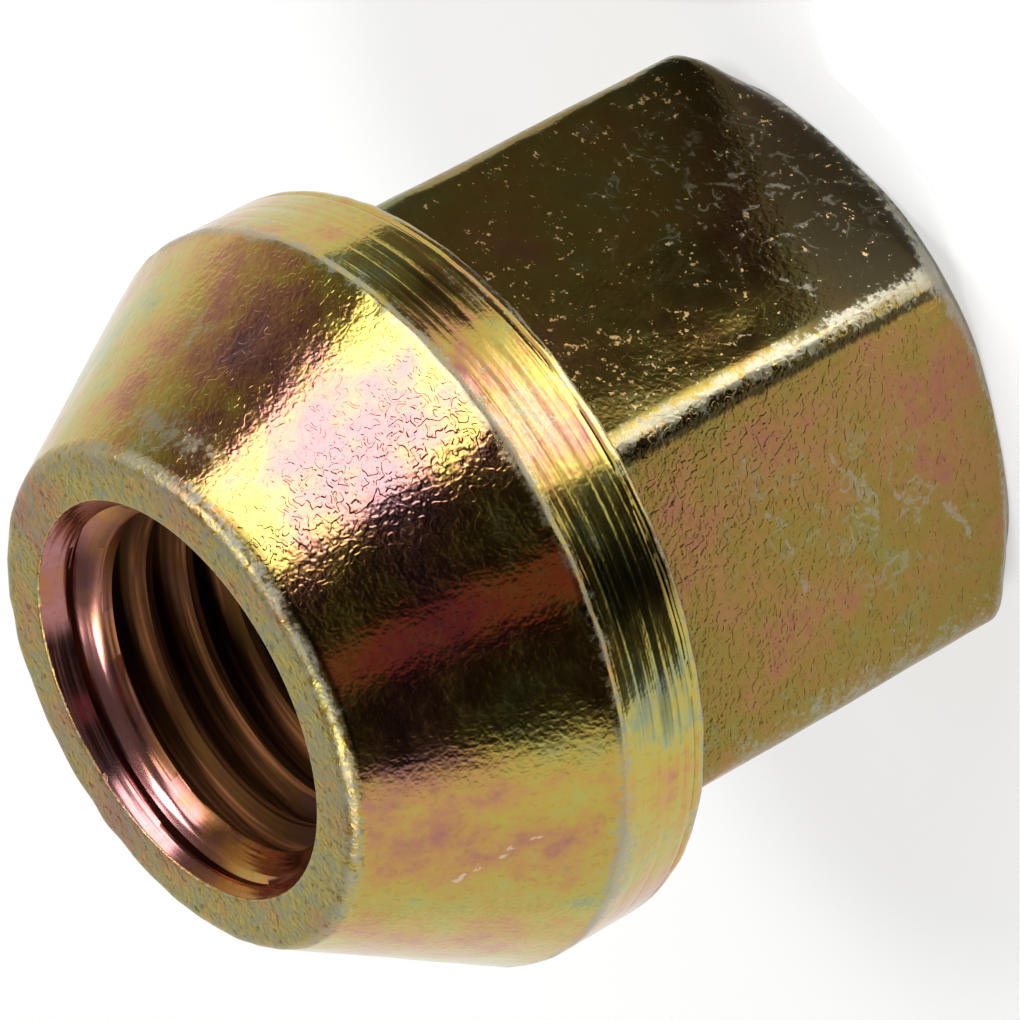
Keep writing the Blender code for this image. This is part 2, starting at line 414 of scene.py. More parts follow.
# Dents: azimuth in degrees, height, size across and along, and depth
dents = [
    (-47.7, 8.6, 0.35, 0.3, -0.05), (-33.7, 4.6, 0.3, 0.25, -0.05), (-83.5, 7.6, 0.25, 0.4, -0.05),
    (-91.3, 1.5, 0.4, 0.6, -0.05), (-121.1, 4.1, 0.5, 0.35, -0.02), (-118.0, 9.5, 0.3, 0.5, -0.02),
    (-133.8, 10.5, 0.3, 0.5, -0.02), (-109.0, 6.0, 0.25, 0.4, -0.02), (-41.0, 19.6, 0.4, 0.3, -0.03),
    (-96.7, 8.6, 0.3, 0.3, -0.03), (-94.7, 7.1, 0.35, 0.25, -0.04), (-129.9, 4.2, 0.3, 0.25, -0.03),
    (-120.2, 5.8, 0.3, 0.25, -0.03),
]
for azimuth, level, dent_across, dent_along, dent_lift in dents:
    lift += dent_lift * place(azimuth, level, dent_across, dent_along)

# The end face and the ring stay flat
flat_end = 0.3
lift *= np.clip(height / flat_end, 0, 1) * (1 - on_ring * (1 - front_edge))
points = points + normal * lift[..., None]
print("relief in mm from", round(float(lift.min()), 3), "to", round(float(lift.max()), 3))

# %% [markdown]
# ## Faces between the rows
# Every four neighbours make one quad. The faces could be added one by one, but
# a sheet of rows and columns knows its neighbours already: the array of point
# numbers, moved by one column and one row, gives all the corners at once. The
# mesh is filled from those arrays, and its doubles are merged.

# %% Faces and mesh
merge_distance = 0.0005
degenerate_distance = 0.0002
sharp_angle = math.radians(48.0)


def ring_faces(first_thread_row):
    """Corner numbers of every quad of the closed sheet, with the thread's rows joined one turn on."""
    number = np.arange(rows * columns).reshape(rows, columns)
    next_column = np.roll(number, -1, axis=1)
    row = np.arange(first_thread_row, first_thread_row + thread_rows)
    one_turn_on = np.minimum(row + rows_per_turn, first_thread_row + thread_rows - 1)
    next_column[row, -1] = number[one_turn_on, 0]
    return np.stack(
        [number, next_column, np.roll(next_column, -1, axis=0), np.roll(number, -1, axis=0)], axis=-1
    ).reshape(-1, 4)


def make_sheet(name, points, faces, attributes):
    """Mesh object from whole arrays in millimetres, its doubles merged and its faces turned outwards."""
    mesh = bpy.data.meshes.new(name)
    mesh.vertices.add(len(points))
    mesh.vertices.foreach_set("co", (points * MM).astype(np.float32).ravel())
    mesh.loops.add(faces.size)
    mesh.loops.foreach_set("vertex_index", faces.astype(np.int32).ravel())
    mesh.polygons.add(len(faces))
    mesh.polygons.foreach_set("loop_start", np.arange(0, faces.size, 4, dtype=np.int32))
    mesh.update(calc_edges=True)
    for label, values in attributes.items():
        layer = mesh.attributes.new(label, "FLOAT", "POINT")
        layer.data.foreach_set("value", values.astype(np.float32).ravel())

    body = bmesh.new()
    body.from_mesh(mesh)
    bmesh.ops.remove_doubles(body, verts=body.verts, dist=merge_distance * MM)
    bmesh.ops.dissolve_degenerate(body, edges=body.edges, dist=degenerate_distance * MM)
    bmesh.ops.recalc_face_normals(body, faces=body.faces)
    volume = body.calc_volume(signed=True) / MM**3
    body.to_mesh(mesh)
    body.free()

    loop_edges = np.empty(len(mesh.loops), np.int32)
    mesh.loops.foreach_get("edge_index", loop_edges)
    open_edges = int((np.bincount(loop_edges) != 2).sum())
    print(name, "faces", len(mesh.polygons), "open edges", open_edges, "volume mm3", round(volume, 1))
    mesh.shade_smooth()
    mesh.set_sharp_from_angle(angle=sharp_angle)
    made = bpy.data.objects.new(name, mesh)
    bpy.context.scene.collection.objects.link(made)
    return made


faces = ring_faces(int(np.argmax(zone == "thread")))
print("quads before merging:", len(faces))

# %% [markdown]
# ## Where the finish changes
# A plated nut isn't one even colour. The edges are rubbed back to grey zinc, the
# film runs thicker in some places, and a few spots carry painted dark reflections.
# Each of these could be a painted map. Here it is a number at every point of the
# mesh, which the material reads by name and breaks up with its own noise.

# %% Wear, film and painted dark reflections
# How far each edge and surface is rubbed, where one is bare zinc
shoulder_line = near(from_shoulder, 0.0, 0.28)
front_corner_line = near(from_corner, 0.0, 0.42) * place(-90.0, 7.0, 1.5, 20.0) * on_hexagon
wear = 0.52 * shoulder_line + 0.62 * front_edge + 0.45 * rim_edge + 0.58 * front_corner_line
wear += 0.62 * chamfer_edge + 0.50 * on_ring * (1 - front_edge) + 0.12 * (on_cone + on_collar + on_hexagon)

# Azimuth in degrees, height, size across and along, and amount
wear_places = [
    (-91.3, 1.6, 0.5, 0.6, 0.2), (-150.0, 7.0, 0.9, 9.0, 0.45), (-80.0, 15.6, 2.0, 1.2, 0.46),
    (-40.0, 19.6, 0.5, 0.4, 0.4), (-29.0, 19.8, 0.5, 0.9, 0.35), (-40.0, 22.4, 2.4, 0.7, 0.60),
    (-16.0, 16.2, 2.5, 0.5, 0.3), (-60.0, 14.6, 2.0, 0.5, 0.3), (-160.0, 16.5, 3.0, 0.6, 0.3),
    (-102.0, 20.3, 0.6, 0.3, 0.3),
]
for azimuth, level, wear_across, wear_along, amount in wear_places:
    wear += amount * place(azimuth, level, wear_across, wear_along)

# The same, by zone: less film turns gold to orange and pink, and more turns it to green
film_places = [
    (on_cone, [
        (-40.0, 19.4, 2.2, 2.4, -0.22), (-66.0, 20.4, 2.7, 2.5, -0.30), (-55.0, 18.0, 1.2, 1.0, 0.05),
        (-55.0, 22.9, 1.6, 0.7, 0.06), (-80.0, 22.9, 1.4, 0.5, 0.06), (-8.0, 19.5, 2.6, 3.2, 0.12),
        (-84.0, 19.0, 1.6, 2.4, -0.12), (-104.0, 21.0, 1.2, 3.0, -0.20), (-133.0, 21.6, 3.0, 2.4, -0.26),
        (-128.0, 18.4, 2.6, 1.5, 0.10), (-146.0, 18.6, 3.0, 1.8, 0.05),
    ]),
    (on_collar, [
        (-80.0, 15.6, 1.8, 1.5, -0.14), (-127.0, 15.6, 1.9, 1.5, 0.34), (-137.0, 15.0, 1.6, 0.8, -0.14),
        (-28.0, 15.5, 3.5, 1.5, 0.06),
    ]),
    (on_hexagon, [
        (-31.0, 7.0, 1.0, 9.0, 0.16), (-90.0, 7.0, 1.0, 9.0, 0.14), (-124.0, 10.5, 1.6, 1.6, -0.14),
        (-104.0, 4.0, 1.2, 2.6, -0.12), (-133.0, 6.5, 1.8, 2.4, -0.08), (-112.0, 9.5, 1.4, 1.6, 0.06),
        (-148.0, 7.0, 1.3, 9.0, 0.16), (-121.0, 3.0, 1.8, 1.8, -0.12), (-140.0, 6.8, 1.6, 1.6, -0.14),
    ]),
    (on_thread, [
        (40.0, 23.0, 3.0, 1.0, -0.16), (118.0, 23.0, 3.0, 1.0, -0.16), (155.0, 23.0, 2.5, 1.5, 0.16),
    ]),
]
film = np.zeros_like(radius)
for on_it, places in film_places:
    for azimuth, level, film_across, film_along, amount in places:
        film += on_it * amount * place(azimuth, level, film_across, film_along)

# Painted dark reflections: dark patches painted on the collar
painted_dark_reflection = on_collar * (0.6 * place(-107.0, 15.3, 1.8, 3.0) + 0.5 * place(-58.0, 15.5, 1.7, 2.0))
painted_dark_reflection += on_collar * 0.35 * place(-127.0, 15.5, 1.6, 2.0)

# Painted dark reflections: lines beside the front corner of the hexagon and behind the front edge of the cone
painted_dark_reflection += on_hexagon * 0.8 * near(turn_from(-92.6), 0.0, math.radians(1.0))
behind_edge = near(np.hypot(radius - front_radius - 0.15, height - nut_length + 0.35), 0.0, 0.3)
painted_dark_reflection += 0.7 * behind_edge * near(turn_from(-80.0), 0.0, 0.8)
print("most wear", round(float(wear.max()), 2), "most film", round(float(film.max()), 2))

# %% [markdown]
# ## Painted dark on one flat, scuffs and bright specks
# One flat is darker than the others, and a painted dark reflection runs across
# its lower end; bright specks of bare plating show in it like stars. A wrench has
# scuffed the flats. The painted dark has a long soft border, so it is a smooth
# step across the flat, and the scuffs are places where the material may draw its scratches.

# %% Painted dark on one flat, scuffs and specks
dark_azimuth = -60.0
dark_flat = on_hexagon * (np.abs(turn_from(dark_azimuth)) < math.radians(29.5))
along_flat = radius * np.sin(turn_from(dark_azimuth))
# A painted dark reflection over the flat's lower end, with a long soft border
painted_dark_border = 7.2
painted_dark_softness = 1.2
painted_flat_dark = dark_flat / (1 + np.exp((1.58 * height + 0.73 * along_flat - painted_dark_border) / painted_dark_softness))

scuff = on_hexagon * (place(-52.0, 5.5, 2.8, 2.6) + 0.6 * place(-66.0, 3.5, 2.0, 2.5))
scuff += on_hexagon * (0.7 * place(-125.0, 4.5, 2.6, 3.0) + 0.5 * place(-112.0, 8.0, 1.6, 3.0))
scuff += on_cone * (0.9 * place(-29.0, 20.0, 0.9, 1.6) + 0.1)

# Nought on the dark flat, a little more by its corner at the collar, less on the other flats, none elsewhere
speckle = on_hexagon * (1.0 - 0.12 * (1 - dark_flat) + 0.06 * place(-80.0, 11.5, 2.2, 2.2)) - 1.0
print("share of the dark flat that is stained:", round(float(painted_flat_dark.sum() / dark_flat.sum()), 2))

# %% [markdown]
# ## How rough each zone is
# The plating lies over a cast grain, coarse on the ring and fine on the collar.
# Short creases cross the cone where it was handled and the flat that wasn't
# stained, and the lathe and the tap leave lines that run round. The material
# draws all three as bump, so the mesh only says how high each one stands.

# %% Grain, creases and lines in millimetres
grain_height = 0.009 * on_cone + 0.005 * on_collar + 0.020 * on_ring
grain_height += on_hexagon * (0.014 - 0.006 * dark_flat)
creased_sides = 1.2 * near(turn_from(-73.0), 0.0, 0.22) + 0.8 * near(turn_from(-41.0), 0.0, 0.14)
crease_height = on_cone * (0.0010 + 0.0038 * creased_sides) + 0.005 * on_ring
crease_height += on_hexagon * (0.011 - 0.0095 * dark_flat) * (1 - 0.7 * corner_edge)

# The countersink ends here, and the painted shade of the bore begins a little above
mouth_zone = 1.6
painted_shade_begins = 1.3
painted_shade_depth = 0.8
below_mouth = nut_length - height
line_height = 0.011 * on_collar + 0.003 * on_cone + on_thread * (0.016 + 0.03 * (below_mouth > mouth_zone))
climb = on_thread * thread_pitch * (angle - angle[0, 0]) / (2 * math.pi)
print("highest grain", round(float(grain_height.max()), 3))
print("highest crease", round(float(crease_height.max()), 3))

# %% [markdown]
# ## The finished sheet
# The points, the faces and the numbers for the finish now go into one mesh. It
# rides on the nut's only body and takes the place of the plain solid.

# %% Make the nut
attributes = {
    "wear": np.clip(wear, 0, 1),
    "film": film,
    "painted_dark_reflection": np.clip(painted_dark_reflection, 0, 1),
    "painted_flat_dark": painted_flat_dark,
    "scuff": np.clip(scuff, 0, 1),
    "speckle": speckle,
    "flat": on_hexagon,
    "collar": on_collar,
    "ring": on_ring,
    "bore": on_thread,
    # Share of the way into the bore: it paints shade into the colour there and makes the thread rougher
    "deep": on_thread * np.clip((below_mouth - painted_shade_begins) / painted_shade_depth, 0, 1),
    "grain": grain_height,
    "crease": crease_height,
    "lines": line_height,
    "climb": climb,
}
nut = make_sheet("plated_nut", points.reshape(-1, 3), faces, attributes)
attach(nut, "root")
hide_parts("lug_nut")

# %% [markdown]
# ## Yellow zinc chromate
# The steel is zinc plated and dipped in chromate, which leaves a film thin
# enough to colour by interference: gold where it is even, pink and green where
# it runs thinner or thicker. It could be a clear coat over grey, but the eye sees
# a coloured metal, so the colour sits in the metal's own reflection. The colours
# below are written as a screen shows them, and one function turns them to light.

# %% Colours of the finish
def linear(hex_colour):
    """Linear colour, with alpha, from an sRGB hex string."""
    channels = [int(hex_colour[i:i + 2], 16) / 255 for i in (0, 2, 4)]
    return tuple(c / 12.92 if c <= 0.04045 else ((c + 0.055) / 1.055) ** 2.4 for c in channels) + (1.0,)


worn_grey = linear("a39e8c")
speck_gold = linear("dcb47c")
nick_pink = linear("dcc0aa")
# Brown of the painted dark reflections, also used for the dark pits
painted_dark_and_pit_brown = linear("221e16")
# Painted shade deep in the bore, and the lighter tap lines that break it
bore_shade_brown = linear("34200f")
thread_gold = linear("96623e")

# The film from thin to thick: on turned steel, on the duller forged flats, and in the bore
turned_film = [
    (0.12, "987070"), (0.27, "b37c66"), (0.40, "bf9458"), (0.51, "bca350"), (0.63, "b6ab5a"),
    (0.76, "a0a474"), (0.90, "8c968c"),
]
forged_film = [
    (0.12, "92605a"), (0.27, "9a684e"), (0.40, "987444"), (0.51, "8f753a"), (0.63, "8a7a3c"),
    (0.76, "7e7e50"), (0.90, "6c7a70"),
]
bore_film = [(0.22, "b07c7c"), (0.36, "a8706a"), (0.50, "aa724e"), (0.66, "bc8444"), (0.85, "a89450")]
print("steps in the films:", len(turned_film), len(forged_film), len(bore_film))

# %% [markdown]
# ## Adding a node
# A material is a small machine of nodes. Each node could be made with four or
# five lines, but the same few steps come back every time, so one function adds
# any node with its settings, and feeds each socket a value or another output.

# %% One function for nodes
def add_node(tree, kind, settings, inputs):
    """Add one node, set its properties, and give its sockets plain values or other nodes' outputs."""
    made = tree.nodes.new("ShaderNode" + kind)
    for name, value in settings.items():
        setattr(made, name, value)
    for name, value in inputs.items():
        if isinstance(value, bpy.types.NodeSocket):
            tree.links.new(value, made.inputs[name])
        else:
            made.inputs[name].default_value = value
    return made


def set_ramp(ramp_node, stops):
    """Give a colour ramp its (position, hex colour) stops."""
    ramp = ramp_node.color_ramp
    while len(ramp.elements) < len(stops):
        ramp.elements.new(0.5)
    for element, (position, colour) in zip(ramp.elements, stops):
        element.position = position
        element.color = linear(colour)


print("worn zinc as light:", [round(c, 3) for c in worn_grey[:3]])

# %% [markdown]
# ## The plated steel
# Zinc plating is a metal, so the material is fully metallic and keeps the default
# index of refraction. New plating is smooth, about 0.15 rough, which gives the eye
# sharp, deep reflections. Everything else in it is sums of patterns, so a second
# small function adds up parts with their weights.

# %% The steel's material
steel = bpy.data.materials.new("yellow_zinc_chromate_steel")
steel.use_nodes = True
nodes_of_steel = steel.node_tree
steel_surface = nodes_of_steel.nodes["Principled BSDF"]
steel_surface.inputs["Metallic"].default_value = 1.0


def steel_node(kind, inputs, **settings):
    """Add a node to the steel and give back the output that is live with its settings."""
    made = add_node(nodes_of_steel, kind, settings, inputs)
    return next(output for output in made.outputs if output.enabled)


def weighted_sum(start, *parts):
    """Start plus each part times its weight, one multiply-and-add node a part."""
    for part, weight in parts:
        start = steel_node("Math", {0: part, 1: weight, 2: start}, operation="MULTIPLY_ADD")
    return start


# A map range with this setting is nought below its low end, one above its high end, and smooth between
smooth = {"interpolation_type": "SMOOTHSTEP"}
print("material:", steel.name)

# %% [markdown]
# ## Noise for the finish
# Every pattern in the finish is noise of one size or another. The size comes
# from what makes it: the film drifts over millimetres as the bath runs off, and
# grit and cast grain are tenths of a millimetre. Object coordinates times a
# thousand make one unit a millimetre, so a scale says how many bumps fit in one.

# %% Coordinates, masks and noise
here = add_node(nodes_of_steel, "TexCoord", {}, {}).outputs["Object"]
in_mm = steel_node("Mapping", {"Vector": here, "Scale": (1000, 1000, 1000)})
mask = {}
for name in attributes:
    mask[name] = add_node(nodes_of_steel, "Attribute", {"attribute_name": name}, {}).outputs["Fac"]

# Lines of the lathe and the tap: drawn out round the nut, six to a millimetre, and climbing with the thread
drawn_round = 0.16
lines_per_mm = 6.0
along_axis = add_node(nodes_of_steel, "SeparateXYZ", {}, {0: in_mm})
level = steel_node("Math", {0: along_axis.outputs["Z"], 1: mask["climb"]}, operation="SUBTRACT")
around = steel_node("CombineXYZ", {
    "X": weighted_sum(0.0, (along_axis.outputs["X"], drawn_round)),
    "Y": weighted_sum(0.0, (along_axis.outputs["Y"], drawn_round)),
    "Z": weighted_sum(0.0, (level, lines_per_mm)),
})


# Coordinates, bumps to a millimetre, detail, roughness of the detail, and distortion
patterns = [
    (in_mm, 0.26, 3.0, 0.60, 0.0),     # film that drifts over 4 mm
    (in_mm, 1.20, 3.0, 0.65, 0.0),     # and is mottled over 0.8 mm
    (in_mm, 4.60, 2.0, 0.70, 0.0),     # grit of 0.2 mm, some times its real size so that it shows
    (in_mm, 1.15, 1.0, 0.50, 0.0),     # fine scratches lie where this one passes its middle value
    (in_mm, 3.60, 1.0, 0.70, 0.0),     # dark pits 0.3 mm apart
    (in_mm, 5.00, 1.0, 0.60, 0.0),     # cast grain of 0.2 mm, coarser than real so that it shows
    (in_mm, 2.90, 0.0, 0.50, 1.5),     # creases 0.35 mm apart, coarser than real too
    (around, 1.0, 2.0, 0.60, 0.0),     # lines that the lathe and the tap left, for the colour
    (around, 1.0, 1.0, 0.60, 0.0),     # and for the relief
]
drift, mottle, grit, ridge, pitting, fine_grain, folded, brushed, round_lines = [
    steel_node("TexNoise", {"Vector": v, "Scale": s, "Detail": d, "Roughness": r, "Distortion": bend})
    for v, s, d, r, bend in patterns
]
print("patterns of noise:", len(patterns))

# %% [markdown]
# ## Film thickness to colour
# On the real part the colour follows the film's thickness, so the nodes do the
# same: the drift, the patches and the mottle add up to one thickness, and a ramp
# for each kind of surface turns that to colour. Deep in the bore a painted shade turns it brown.

# %% Film, painted shade and dark reflections, specks and pits
def centred(pattern, gain):
    """Two terms for a weighted sum: a pattern less one half, times a gain."""
    return (pattern, gain), (1.0, -0.5 * gain)


centred_lines = weighted_sum(0.0, *centred(brushed, 0.4))
thickness = weighted_sum(
    drift, (mask["film"], 1.0), *centred(mottle, 0.48), (centred_lines, mask["collar"]),
    *centred(grit, 0.12)
)
film_colours = []
for stops in (turned_film, forged_film, bore_film):
    ramp = add_node(nodes_of_steel, "ValToRGB", {}, {"Fac": thickness})
    set_ramp(ramp, stops)
    film_colours.append(ramp.outputs["Color"])
turned_colour, forged_colour, bore_colour = film_colours

# Painted shade in the colour, deeper in the bore
deep_painted_shade = weighted_sum(0.0, (mask["deep"], 0.88))
bright_line = steel_node("MapRange", {"Value": brushed, "From Min": 0.48, "From Max": 0.62}, **smooth)
deep_gold = weighted_sum(0.0, (weighted_sum(0.0, (bright_line, mask["deep"])), 0.6))

# Painted dark reflections come in streaks round the nut, and the painted dark of the one flat lies over them
painted_streaks = weighted_sum(mask["painted_dark_reflection"], *centred(brushed, 0.7))
painted_streaks = steel_node("MapRange", {"Value": painted_streaks, "From Min": 0.2, "From Max": 0.6}, **smooth)
in_painted_dark_reflection = steel_node("Math", {0: mask["painted_dark_reflection"], 1: 0.02}, operation="GREATER_THAN")
painted_streaks = weighted_sum(0.0, (weighted_sum(0.0, (painted_streaks, in_painted_dark_reflection)), 0.82))
painted_dark = weighted_sum(0.0, (mask["painted_flat_dark"], 0.95))
painted_darkness = steel_node("Math", {0: painted_streaks, 1: painted_dark}, operation="MAXIMUM")

speck = weighted_sum(grit, *centred(mottle, 0.5), (mask["speckle"], 1.0))
speck = steel_node("MapRange", {"Value": speck, "From Min": 0.65, "From Max": 0.74}, **smooth)
pits = steel_node("MapRange", {"Value": pitting, "From Min": 0.58, "From Max": 0.68}, **smooth)
pitted = weighted_sum(0.0, (pits, weighted_sum(0.10, (mask["ring"], 0.40))))
print("film ramps:", len(film_colours))

# %% [markdown]
# ## Scrapes and nicks
# A wrench and a few knocks have left marks that can be picked out one by one.
# They could be drawn in a picture that is wrapped round the nut. Instead each
# mark is a line between points in space, so it needs no picture and stays sharp.

# %% Where the marks lie
def flat_path(azimuth, spots):
    """Points in millimetres on the flat that faces an azimuth, from (distance along it, height) pairs."""
    turn = math.radians(azimuth)
    out = half_flats * Vector((math.cos(turn), math.sin(turn), 0.0))
    along = Vector((-math.sin(turn), math.cos(turn), 0.0))
    return [out + s * along + Vector((0.0, 0.0, z)) for s, z in spots]


scrapes = [
    flat_path(-60, [(2.96, 3.18), (1.31, 4.84)]),
    flat_path(-60, [(1.20, 4.97), (-0.54, 2.52)]),
    flat_path(-60, [(1.59, 1.97), (0.50, 3.73)]),
    flat_path(-60, [(3.09, 5.17), (2.21, 4.05)]),
    flat_path(-60, [(-2.51, 5.30), (-4.44, 4.75)]),
    flat_path(-120, [(3.18, 9.42), (-1.43, 8.04)]),
    flat_path(-120, [(-0.15, 4.22), (-0.58, 2.91), (-2.70, 1.83)]),
    flat_path(-120, [(1.87, 6.12), (-0.63, 5.13)]),
]
nicks = [
    flat_path(-60, [(4.85, 4.79), (4.41, 4.13)]),
    flat_path(-60, [(-4.34, 7.96), (-4.22, 7.29)]),
    [Vector((-8.20, -4.23, 21.04)), Vector((-8.37, -5.27, 19.98)), Vector((-8.35, -6.29, 18.92))],
]
print("scrapes", len(scrapes), "nicks", len(nicks))

# %% [markdown]
# ## From lines to marks
# Nodes find how far the surface is from the nearest line, and a smooth step turns
# a short distance into a mark. A straight mark of one width would look drawn, so
# noise moves the place a little first, the line wanders, and grit breaks it up.

# %% Draw the marks
far_off = 10.0


def distance_to(paths, place_in_mm):
    """Distance in millimetres to the nearest of some paths.

    For each straight piece, the offset from its start is measured along it, held
    between the two ends, and the gap from that foot point is the distance.
    """
    nearest = far_off
    for path in paths:
        for one, two in zip(path, path[1:]):
            step = two - one
            offset = steel_node("VectorMath", {0: place_in_mm, 1: one}, operation="SUBTRACT")
            unit = step / step.length_squared
            along = steel_node("VectorMath", {0: offset, 1: unit}, operation="DOT_PRODUCT")
            held = steel_node("Math", {0: along, 1: 0.0}, operation="ADD", use_clamp=True)
            foot = steel_node("VectorMath", {0: step, "Scale": held}, operation="SCALE")
            gap = steel_node("VectorMath", {0: offset, 1: foot}, operation="DISTANCE")
            nearest = steel_node("Math", {0: gap, 1: nearest}, operation="MINIMUM")
    return nearest


# The place wanders by up to a third of a millimetre
wander = add_node(nodes_of_steel, "TexNoise", {}, {"Vector": in_mm, "Scale": 1.6, "Detail": 0.0})
way_off = steel_node("VectorMath", {0: wander.outputs["Color"], 1: (0.5, 0.5, 0.5)}, operation="SUBTRACT")
wandering = steel_node("VectorMath", {0: way_off, 1: (0.7, 0.7, 0.7), 2: in_mm}, operation="MULTIPLY_ADD")
scraped = weighted_sum(distance_to(scrapes, wandering), *centred(grit, 0.35))
scraped = steel_node("MapRange", {"Value": scraped, "From Min": 0.13, "From Max": 0.02}, **smooth)
scraped = weighted_sum(0.0, (scraped, 0.55))
nicked = weighted_sum(distance_to(nicks, wandering), *centred(grit, 0.5))
nicked = steel_node("MapRange", {"Value": nicked, "From Min": 0.11, "From Max": 0.02}, **smooth)
nicked = weighted_sum(0.0, (nicked, 0.85))
print("nodes so far:", len(nodes_of_steel.nodes))

# %% [markdown]
# ## Rubbed edges and scuffs
# Where the edges are rubbed and the wrench has scuffed, the film is gone and grey
# zinc shows. A sharp mask would look painted, so grit and mottle are added to the
# wear before a smooth step cuts it. Scuffs are blotches and fine lines: a line
# runs wherever one noise passes its middle value.

# %% Worn places and the colour
rubbed = weighted_sum(mask["wear"], *centred(grit, 1.2), *centred(mottle, 0.8))
rubbed = steel_node("MapRange", {"Value": rubbed, "From Min": 0.34, "From Max": 0.80}, **smooth)
rubbed = weighted_sum(0.0, (rubbed, 0.8))
blotch = weighted_sum(mottle, *centred(grit, 0.5))
blotch = steel_node("MapRange", {"Value": blotch, "From Min": 0.60, "From Max": 0.72}, **smooth)
from_middle = steel_node("Math", {0: weighted_sum(-0.5, (ridge, 1.0))}, operation="ABSOLUTE")
off_line = steel_node("MapRange", {"Value": from_middle, "From Min": 0.010, "From Max": 0.040}, **smooth)
in_patch = steel_node("MapRange", {"Value": mottle, "From Min": 0.48, "From Max": 0.56}, **smooth)
fine_line = weighted_sum(0.0, (weighted_sum(1.0, (off_line, -1.0)), in_patch))
scuffed = steel_node("Math", {0: fine_line, 1: blotch}, operation="MAXIMUM")
scuffed = weighted_sum(0.0, (weighted_sum(0.0, (scuffed, mask["scuff"])), 0.6))
worn = steel_node("Math", {0: rubbed, 1: scuffed}, operation="MAXIMUM")
worn = steel_node("Math", {0: worn, 1: scraped}, operation="MAXIMUM")

# Each layer lies over those before it; the painted shade in the bore and the painted dark reflections are
# layers too
colour = turned_colour
layers = [
    (mask["flat"], forged_colour), (mask["bore"], bore_colour), (deep_painted_shade, bore_shade_brown),
    (deep_gold, thread_gold), (painted_darkness, painted_dark_and_pit_brown), (speck, speck_gold), (pitted, painted_dark_and_pit_brown),
    (worn, worn_grey), (nicked, nick_pink),
]
for amount, layer in layers:
    colour = steel_node("Mix", {"Factor": amount, "A": colour, "B": layer}, data_type="RGBA")
nodes_of_steel.links.new(colour, steel_surface.inputs["Base Color"])
print("layers of colour:", len(layers))

# %% [markdown]
# ## Gloss and fine relief
# New plating is nearly a mirror. The ring, the specks and every rubbed place are
# duller, and the bore is dullest. The grain could be part of the mesh, but at a
# fifth of a millimetre it would need millions of faces, so it is bump: an
# orange-peel grain, the short creases, and the lines that run round.

# %% Gloss and bump
bare = steel_node("Math", {0: speck, 1: nicked}, operation="MAXIMUM")
roughness = weighted_sum(
    0.15, (mask["flat"], 0.05), (mask["ring"], 0.22), (mask["bore"], 0.03), (mask["deep"], 0.42),
    (worn, 0.22), (bare, 0.30), *centred(mottle, 0.14)
)
nodes_of_steel.links.new(roughness, steel_surface.inputs["Roughness"])

# Heights in millimetres
creases = weighted_sum(folded, *centred(fine_grain, 0.4))
creases = steel_node("MapRange", {"Value": creases, "From Min": 0.42, "From Max": 0.60}, **smooth)
relief = weighted_sum(
    0.0, (fine_grain, mask["grain"]), (creases, mask["crease"]), (round_lines, mask["lines"])
)
bump = steel_node("Bump", {"Strength": 1.0, "Distance": MM, "Height": relief})
nodes_of_steel.links.new(bump, steel_surface.inputs["Normal"])
nut.data.materials.append(steel)
print("nodes in the steel:", len(nodes_of_steel.nodes))

# %% [markdown]
# ## Floor
# The nut stands on pale matt paper. A paper lit only by the lamps would render
# grey where the nut shades it, so part of what the camera and the metal see of
# it is a plain white glow, and the rest keeps the shadow.

# %% Floor
paper_gap = 0.02
glow_share = 0.55


def matt_paper(name, hex_colour):
    """Material of plain uncoated paper: rough, with hardly any shine."""
    material = bpy.data.materials.new(name)
    material.use_nodes = True
    surface = material.node_tree.nodes["Principled BSDF"]
    surface.inputs["Base Color"].default_value = linear(hex_colour)
    surface.inputs["Roughness"].default_value = 0.9
    surface.inputs["Specular IOR Level"].default_value = 0.1
    return material


def flat_sheet(name, outline_in_mm, height, material):
    """Flat sheet at a height, cut to an outline of (x, y) points, all in millimetres."""
    mesh = bpy.data.meshes.new(name)
    corners = [(x * MM, y * MM, height * MM) for x, y in outline_in_mm]
    mesh.from_pydata(corners, [], [tuple(range(len(corners)))])
    mesh.materials.append(material)
    sheet = bpy.data.objects.new(name, mesh)
    bpy.context.scene.collection.objects.link(sheet)
    return sheet


paper = matt_paper("matt_white_paper", "f7f7f6")
tree = paper.node_tree
path = add_node(tree, "LightPath", {}, {})
seen = path.outputs["Is Camera Ray"]
for kind in ("Is Glossy Ray", "Is Transmission Ray"):
    seen = add_node(tree, "Math", {"operation": "MAXIMUM"}, {0: seen, 1: path.outputs[kind]}).outputs["Value"]
share = add_node(tree, "Math", {"operation": "MULTIPLY"}, {0: seen, 1: glow_share}).outputs["Value"]
glow = add_node(tree, "Emission", {}, {"Color": linear("fdfdfd"), "Strength": 1.0}).outputs["Emission"]
plain = tree.nodes["Principled BSDF"].outputs["BSDF"]
mixed = add_node(tree, "MixShader", {}, {0: share, 1: plain, 2: glow})
tree.links.new(mixed.outputs["Shader"], tree.nodes["Material Output"].inputs["Surface"])
reach = 3000
floor_corners = [(-reach, -reach), (reach, -reach), (reach, reach), (-reach, reach)]
floor = flat_sheet("floor", floor_corners, -paper_gap, paper)
print("floor", 2 * reach * MM, "m wide")

# %% [markdown]
# ## Lamps
# A polished metal shows little but its surroundings, so the lamps are placed for
# what they look like in the nut. Two high softboxes make the pale bands down the
# cone, and a low one in front lights the corner of the hexagon and the collar.
# Two round pools of light on the paper and three cards that lie on it, just
# outside the picture, give the lower side its bright and dark edges.

# %% Softboxes
nut_middle = Vector((0.0, 0.0, nut_length * MM / 2))


